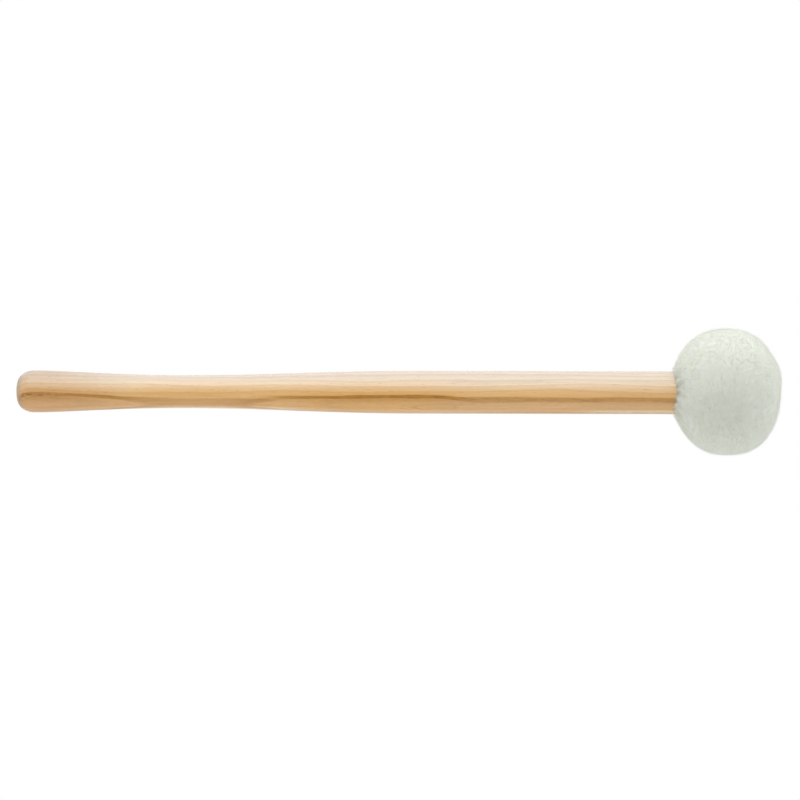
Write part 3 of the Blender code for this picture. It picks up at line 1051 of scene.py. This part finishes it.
def roughen(mesh, relief):
    """Moves a felt's surface in, more in some places than in others, as if fibres stood up."""
    points = mesh_points(mesh)
    normals = np.empty(len(points) * 3)
    mesh.vertices.foreach_get("normal", normals)
    rise = soft_noise(points, 1.1 * MM, seed=41) + 0.6 * soft_noise(points, 0.5 * MM, seed=42)
    points += normals.reshape(-1, 3) * (rise[:, None] - 1.0) * relief
    mesh.vertices.foreach_set("co", points.ravel())
    mesh.polygons.foreach_set("use_smooth", np.ones(len(mesh.polygons), bool))
    mesh.update()


def make_felt(node, name, material, relief):
    """A felt piece that stands for its CAD solid."""
    felt = rounded(node, name)
    roughen(felt.data, relief)
    felt.data.materials.clear()
    felt.data.materials.append(material)
    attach(felt, BODY)
    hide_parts(node)


def make_felts():
    """The dense felt core, and the softer felt wrapped over it."""
    hard = felt_material("hard_felt", HARD_FELT_COLOURS, fineness=2.2)
    soft = felt_material("soft_felt", SOFT_FELT_COLOURS, fineness=1.4)
    make_felt("felt_core", "hard_felt_core", hard, HARD_FELT_RELIEF)
    make_felt("felt_liner", "soft_felt_liner", soft, SOFT_FELT_RELIEF)


def tube(name, line, radius, sides):
    """A closed round tube along a line of points, drawn in at its two ends."""
    ahead = unit(np.gradient(line, axis=0))
    out = unit(line * (0, 1, 1))
    out = unit(out - ahead * (out * ahead).sum(1, keepdims=True))
    up = np.cross(ahead, out)
    angle = -np.arange(sides) * 2 * math.pi / sides
    size = np.full(len(line), radius)
    size[[0, -1]] = 0.0
    size[[1, -2]] *= 0.7
    ring = out[:, None] * np.cos(angle)[:, None] + up[:, None] * np.sin(angle)[:, None]
    grid = line[:, None] + ring * size[:, None, None]
    return grid_object(name, grid)


def make_gather_cord():
    """The waxed cord: three twisted plies on the CAD cord's two turns round the handle."""
    low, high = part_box("gather_cord")
    count = CORD_TURNS * CORD_STEPS_PER_TURN
    share = np.linspace(0, 1, count + 1)
    angle = share * 2 * math.pi * CORD_TURNS
    start = low.x + CORD_RADIUS
    along = start + (high.x - low.x - 2 * CORD_RADIUS) * share
    radius = high.y - CORD_RADIUS
    centre = np.column_stack([along, radius * np.sin(angle), -radius * np.cos(angle)])
    outward = unit(centre * (0, 1, 1))
    ahead = unit(np.gradient(centre, axis=0))
    up = np.cross(ahead, outward)
    material = cord_material()
    for ply in range(CORD_PLIES):
        twist = (CORD_TWISTS * 2 * math.pi * share + 2 * math.pi * ply / CORD_PLIES)[:, None]
        line = centre + (outward * np.cos(twist) + up * np.sin(twist)) * PLY_OFFSET
        piece = tube(f"gather_cord_ply_{ply}", line, PLY_RADIUS, PLY_SIDES)
        piece.data.materials.append(material)
        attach(piece, BODY)
        if ply == 0:
            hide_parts("gather_cord")


def finish_metal():
    """The CAD's washer and screw keep their shapes and get a plated steel finish."""
    steel = steel_material()
    for node in ("end_washer", "end_screw"):
        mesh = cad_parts[node].data
        mesh.materials.clear()
        mesh.materials.append(steel)


# -------- stage


def resting_plane():
    """The floor under the lying mallet: a point on it, and its unit normal."""
    outline = np.concatenate([turned_points("handle"), turned_points("fleece_cover")])
    hull = upper_hull(outline[np.lexsort((outline[:, 1], outline[:, 0]))])
    spans = np.diff(hull[:, 0])
    left, right = hull[spans.argmax()], hull[spans.argmax() + 1]
    slope = (right[1] - left[1]) / (right[0] - left[0])
    return Vector((left[0], 0.0, -left[1] - FLOOR_GAP)), Vector((slope, 0.0, 1.0)).normalized()


def floor_material():
    """A pale floor, shown plain white, as the photograph's is.

    Its soft glow fills the matt surfaces from below. Gloss shows the floor with its real shadows.
    """
    material, tree, shader = new_material("pale_floor")
    grain = cloud(tree, millimetres(tree), scale=0.01)
    ray = add(tree, "LightPath").outputs
    plug_all(tree, shader, {
        "Base Color": mottled(tree, grain, FLOOR_COLOURS),
        "Roughness": 1.0,
        "Specular IOR Level": 0.0,
        "Emission Color": WHITE,
        "Emission Strength": maths(tree, "MULTIPLY", ray["Is Diffuse Ray"], FLOOR_GLOW),
    })
    white = add(tree, "Emission", {"Color": WHITE, "Strength": 1.0})
    shown = add(tree, "MixShader", {0: ray["Is Camera Ray"], 1: shader.outputs[0], 2: white.outputs[0]})
    plug(tree, shown.outputs[0], tree.nodes["Material Output"].inputs["Surface"])
    return material


def make_floor(point, normal):
    """A wide, plain, pale floor that the mallet rests on."""
    half = FLOOR_HALF_WIDTH
    corners = [(-half, -half, 0.0), (half, -half, 0.0), (half, half, 0.0), (-half, half, 0.0)]
    floor = new_object("floor", np.array(corners), [(0, 1, 2, 3)], smooth=False)
    floor.data.materials.append(floor_material())
    tip = normal.to_track_quat("Z", "Y").to_matrix().to_4x4()
    floor.matrix_world = Matrix.Translation(point) @ tip


def add_sun(name, direction, strength, angle):
    """A sun as wide as a softbox, which shines from this direction."""
    data = bpy.data.lights.new(name, "SUN")
    data.energy = strength
    data.angle = math.radians(angle)
    sun = bpy.data.objects.new(name, data)
    bpy.context.scene.collection.objects.link(sun)
    sun.rotation_euler = Vector(direction).to_track_quat("Z", "Y").to_euler()


def make_lights():
    """Plain, soft studio light: a white room, dimmer overhead, a broad key and a weak fill."""
    world = bpy.data.worlds.new("studio")
    world.use_nodes = True
    background = world.node_tree.nodes["Background"]
    background.inputs["Color"].default_value = WHITE
    tree = world.node_tree
    direction = add(tree, "TexCoord").outputs["Generated"]
    height = add(tree, "SeparateXYZ", {0: direction}).outputs[2]
    room = remap(tree, height, 0.0, 1.0, ROOM_ASIDE, ROOM_ABOVE)
    shown = add(tree, "LightPath").outputs["Is Camera Ray"]
    plug(tree, maths(tree, "MAXIMUM", room, shown), background.inputs["Strength"])
    bpy.context.scene.world = world
    add_sun("key", *KEY_LIGHT)
    add_sun("fill", *FILL_LIGHT)


def make_camera(normal):
    """Looks straight down on the floor, with the handle to the left and the head to the right."""
    low, high = cad_box
    middle = Vector(((low.x + high.x) / 2, 0.0, 0.0))
    across = Vector((1.0, 0.0, 0.0))
    across = (across - normal * across.dot(normal)).normalized()
    up = normal.cross(across)
    turn = Matrix.Rotation(ROLL, 3, normal)
    across, up = turn @ across, turn @ up
    data = bpy.data.cameras.new("camera")
    data.lens = LENS
    data.sensor_width = 36.0
    data.clip_end = 20.0
    camera = bpy.data.objects.new("camera", data)
    bpy.context.scene.collection.objects.link(camera)
    aim = middle - up * AXIS_ABOVE_CENTRE + across * MIDDLE_LEFT_OF_CENTRE
    place = aim + normal * CAMERA_DISTANCE
    basis = Matrix((across, up, normal)).transposed().to_4x4()
    camera.matrix_world = Matrix.Translation(place) @ basis
    bpy.context.scene.camera = camera


def set_view():
    """Plain colours, as a camera without film curves would show them."""
    view = bpy.context.scene.view_settings
    view.view_transform = "Standard"
    view.look = "None"


point, normal = resting_plane()
make_camera(normal)
make_handle()
skin = skin_grid()
make_cover(skin)
make_pile(skin)
make_felts()
make_gather_cord()
finish_metal()
make_floor(point, normal)
make_lights()
set_view()
